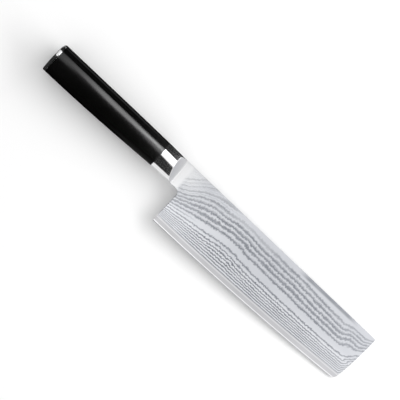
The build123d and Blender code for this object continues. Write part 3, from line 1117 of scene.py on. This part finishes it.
def beddingFinish():
    # cloudy resin with small bubbles
    f = Finish(bpy.data.materials.new("bedding_resin"))
    b = beddingLooks
    here = f.place()
    cloud = f.noise(here, *b["cloud"])
    bubbles = f.node("ShaderNodeTexVoronoi", {"feature": "F1"}, {"Vector": here, "Scale": b["bubbleScale"]})
    bubble = f.ramped(bubbles, *b["bubbleRim"])
    sockets = {
        "Base Color": f.mixed(f.clamped(cloud * b["cloudContrast"] + 0.5), *b["tones"]),
        "Roughness": b["roughness"] + cloud * b["cloudRougher"],
        "IOR": b["refraction"],
    }
    return f.surface(sockets, bubble * b["bubbleHeight"], b["relief"])


polishedSteel = polishedSteelFinish()
addBlade(layeredSteelFinish(), coreSteelFinish())
addBolster(polishedSteel)
addGrip(blackWoodFinish())
addCap(polishedSteel)
plainSteel = plainSteelFinish()
hiddenPieces = {
    "tang_extension": plainSteel,
    "tang_washer": plainSteel,
    "tang_nut": plainSteel,
    "tang_bedding": beddingFinish(),
}
for node, finish in hiddenPieces.items():
    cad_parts[node].data.materials.clear()
    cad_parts[node].data.materials.append(finish)
print("pieces and finishes done")


# Floor, light and camera

studio = {
    "floorRise": 0.0366,  # the floor touches the bolster and the tip, so the butt stands clear of it
    "floorAtBolster": 1.35,
    "floorColour": 0.9,
    "floorRadius": 1500,
    "floorSides": 96,
    "floorFades": (260, 420),  # over these distances it turns plain white
    "floorLift": 0.05,
    # reflections show it this dark past the handle's top, and all across from the handle's middle backwards
    "floorDark": 0.02,
    "darkPastTop": (20, 22),
    "darkFromBolster": (-27, -29),
    "darkFromMiddle": (-62, -76),
    "roomLight": 0.75,
    "axis": (13, 9),  # the cards curve round this line along the knife
    "cardRadius": 220,
    "cardSteps": 25,
    "windowLean": 60.8,  # from straight up
    "windowTurn": 41.9,  # from the tip towards the spine's side
    "windowWide": 1.68,  # metres, as its height is
    "windowTall": 0.44,
    "windowPower": 12.7,
    "cameraTurn": 43.4,
    "cameraAt": (-6.15, 8.87),
    "cameraHeight": 3000,
    "viewWidth": 270.2,  # of the picture, at the blade
    "clipEnd": 20,  # metres
}
white = (1, 1, 1, 1)
# Cards that only glossy surfaces see. Each one's two edges are angles from straight up towards the spine's
# side, and the edges and the light are given at places along the knife.
stripLight = [
    (-260, 0.7),
    (-165, 0.8),
    (-150, 1.1),
    (-130, 1.15),
    (-112, 2.1),
    (-95, 2.7),
    (-80, 2.7),
    (-66, 3.9),
    (-54, 6.0),
    (-47, 5.4),
    (-40, 2.2),
    (-30, 1.3),
]
shellLight = [(-150, 0.03), (-142, 0.03), (-128, 0.004), (-62, 0.004), (-46, 0.03), (-27, 0.035)]
bladeLight = [
    (-27, 2.3),
    (-12, 1.75),
    (5, 1.28),
    (20, 1.12),
    (85, 1.1),
    (105, 1.12),
    (125, 1.18),
    (150, 1.29),
    (300, 1.4),
]
cards = {
    "dark_shell": {
        "from": [(-1500, -100), (-84, -100), (-74, -57), (-27, -57)],
        "to": [(-1500, 40), (-52, 40), (-48, 88), (-27, 88)],
        "out": 4,
        "light": shellLight,
    },
    "grey_side": {
        "from": [(-1500, 40), (-52, 40), (-48, 88)],
        "to": [(-1500, 88), (-48, 88)],
        "out": 4,
        "light": 0.3,
    },
    "strip": {
        "from": [
            (-1500, -22),
            (-137, -22),
            (-134, -16),
            (-122, -16),
            (-112, -17.2),
            (-100, -18.2),
            (-78, -18.5),
            (-66, -17.5),
            (-54, -15.2),
            (-47, -15.5),
            (-43.5, -20.5),
            (-27, -20.5),
        ],
        "to": [
            (-1500, -6.5),
            (-137, -6.5),
            (-110, -7.4),
            (-75, -8.5),
            (-56, -10.5),
            (-48, -9),
            (-44, -6),
            (-27, -6),
        ],
        "out": 0,
        "light": stripLight,
    },
    "strip_foot": {
        "from": [(-66, -17.5), (-56, -24), (-42, -26.5), (-33, -28), (-29, -31), (-27, -31)],
        "to": [(-66, -17.5), (-54, -15.2), (-47, -15.5), (-43.5, -20.5), (-27, -20.5)],
        "out": 0,
        "light": 1.3,
    },
    "blade_box": {
        "from": [(-27, -24), (300, -24)],
        "to": [(-27, 40), (300, 40)],
        "out": 0,
        "light": bladeLight,
    },
}


def addStage(name, points, faces, material, onlyGlossy=False):
    # a plain mesh that isn't part of the knife, and that reflections alone may see
    mesh = bpy.data.meshes.new(name)
    mesh.from_pydata((np.asarray(points, float) * millimetre).tolist(), [], [list(f) for f in faces])
    mesh.materials.append(material)
    piece = bpy.data.objects.new(name, mesh)
    bpy.context.scene.collection.objects.link(piece)
    if onlyGlossy:
        for ray in ("camera", "diffuse", "shadow", "transmission"):
            setattr(piece, "visible_" + ray, False)


def addCard(name, card):
    # part of a cylinder along the knife, its two long edges at angles that change along it
    lows, highs = np.array(card["from"], float), np.array(card["to"], float)
    x = np.unique(np.r_[lows[:, 0], highs[:, 0]])
    low, high = np.interp(x, *lows.T), np.interp(x, *highs.T)
    share = np.linspace(0, 1, studio["cardSteps"])
    angle = np.radians(low[:, None] + (high - low)[:, None] * share[None, :])
    radius = studio["cardRadius"] + card["out"]
    y, z = studio["axis"][0] + radius * np.sin(angle), studio["axis"][1] + radius * np.cos(angle)
    points = np.stack([np.broadcast_to(x[:, None], y.shape), y, z], axis=-1).reshape(-1, 3)
    f = Finish(bpy.data.materials.new(name))
    light = card["light"]
    if isinstance(light, list):
        light = f.profile(f.parts(f.place())[0], light)
    f.shownBy(f.node("ShaderNodeEmission", None, {"Color": white, "Strength": light}))
    addStage(name, points, gridQuads(*y.shape).tolist(), f.owner, True)


def seenDirectly(f):
    # one for what the camera, gloss and glass see
    path = f.node("ShaderNodeLightPath", output="Is Camera Ray")
    outputs = path.socket.node.outputs
    gloss, glass = Value(f, outputs["Is Glossy Ray"]), Value(f, outputs["Is Transmission Ray"])
    return f.clamped(path + gloss + glass)


def floorFinish():
    # grey paper that takes the knife's shadow, white further out, and clear from below
    f = Finish(bpy.data.materials.new("floor"))
    x, y, _ = f.parts(f.place())
    far = f.ramped((x * x + y * y).put("SQRT"), *studio["floorFades"])
    seen = seenDirectly(f)
    grey = studio["floorColour"]
    paper = f.node("ShaderNodeBsdfDiffuse", None, {"Color": (grey, grey, grey, 1)})
    lift = f.node("ShaderNodeEmission", None, {"Color": white, "Strength": seen * studio["floorLift"]})
    near = f.node("ShaderNodeAddShader", None, {0: paper, 1: lift})
    plainWhite = f.node("ShaderNodeEmission", None, {"Color": white, "Strength": 1.0})
    floor = f.node("ShaderNodeMixShader", None, {0: far * seen, 1: near, 2: plainWhite})
    # reflections show it black along the handle's top and under most of the handle
    gloss = f.node("ShaderNodeLightPath", output="Is Glossy Ray")
    alongTop = f.ramped(y, *studio["darkPastTop"]) * f.ramped(x, *studio["darkFromBolster"])
    beside = gloss * f.clamped(alongTop + f.ramped(x, *studio["darkFromMiddle"]))
    black = f.node("ShaderNodeEmission", None, {"Color": white, "Strength": studio["floorDark"]})
    floor = f.node("ShaderNodeMixShader", None, {0: beside, 1: floor, 2: black})
    behind = f.node("ShaderNodeNewGeometry", output="Backfacing")
    clear = f.node("ShaderNodeBsdfTransparent")
    return f.shownBy(f.node("ShaderNodeMixShader", None, {0: behind, 1: floor, 2: clear}))


def addFloor():
    # a flat disc that rises along the knife
    angle = np.linspace(0, 2 * math.pi, studio["floorSides"] + 1)[:-1]
    x, y = studio["floorRadius"] * np.cos(angle), studio["floorRadius"] * np.sin(angle)
    z = studio["floorAtBolster"] + (x - places["shoulder"]) * studio["floorRise"]
    addStage("floor", np.c_[x, y, z], [range(len(angle))], floorFinish())


def addWindow():
    # a soft lamp a metre from the knife, turned to face it
    lamp = bpy.data.lights.new("window", "AREA")
    lamp.shape, lamp.size, lamp.size_y = "RECTANGLE", studio["windowTall"], studio["windowWide"]
    lamp.energy = studio["windowPower"]
    window = bpy.data.objects.new("window", lamp)
    turn, lean = math.radians(studio["windowTurn"]), math.radians(studio["windowLean"])
    window.location = (math.cos(turn) * math.sin(lean), math.sin(turn) * math.sin(lean), math.cos(lean))
    window.rotation_euler = (0, lean, turn)
    bpy.context.scene.collection.objects.link(window)
    window.visible_glossy = window.visible_camera = False


def setWorld():
    # dimmer as light than as it is seen
    world = bpy.data.worlds.new("studio")
    bpy.context.scene.world = world
    f = Finish(world)
    strength = f.ramped(seenDirectly(f), 0, 1, studio["roomLight"], 1.0, False)
    background = f.node("ShaderNodeBackground", None, {"Color": white, "Strength": strength})
    f.shownBy(background, "ShaderNodeOutputWorld")


def addCamera():
    # straight above, far off with a long lens
    camera = bpy.data.cameras.new("camera")
    camera.lens = camera.sensor_width * studio["cameraHeight"] / studio["viewWidth"]
    camera.clip_end = studio["clipEnd"]
    holder = bpy.data.objects.new("camera", camera)
    x, y = studio["cameraAt"]
    height = studio["cameraHeight"] + places["middle"]
    holder.location = (x * millimetre, y * millimetre, height * millimetre)
    holder.rotation_euler = (0, 0, math.radians(studio["cameraTurn"]))
    bpy.context.scene.collection.objects.link(holder)
    bpy.context.scene.camera = holder


addFloor()
for name, card in cards.items():
    addCard(name, card)
addWindow()
setWorld()
addCamera()
bpy.context.scene.view_settings.view_transform = "Standard"
print("studio done")
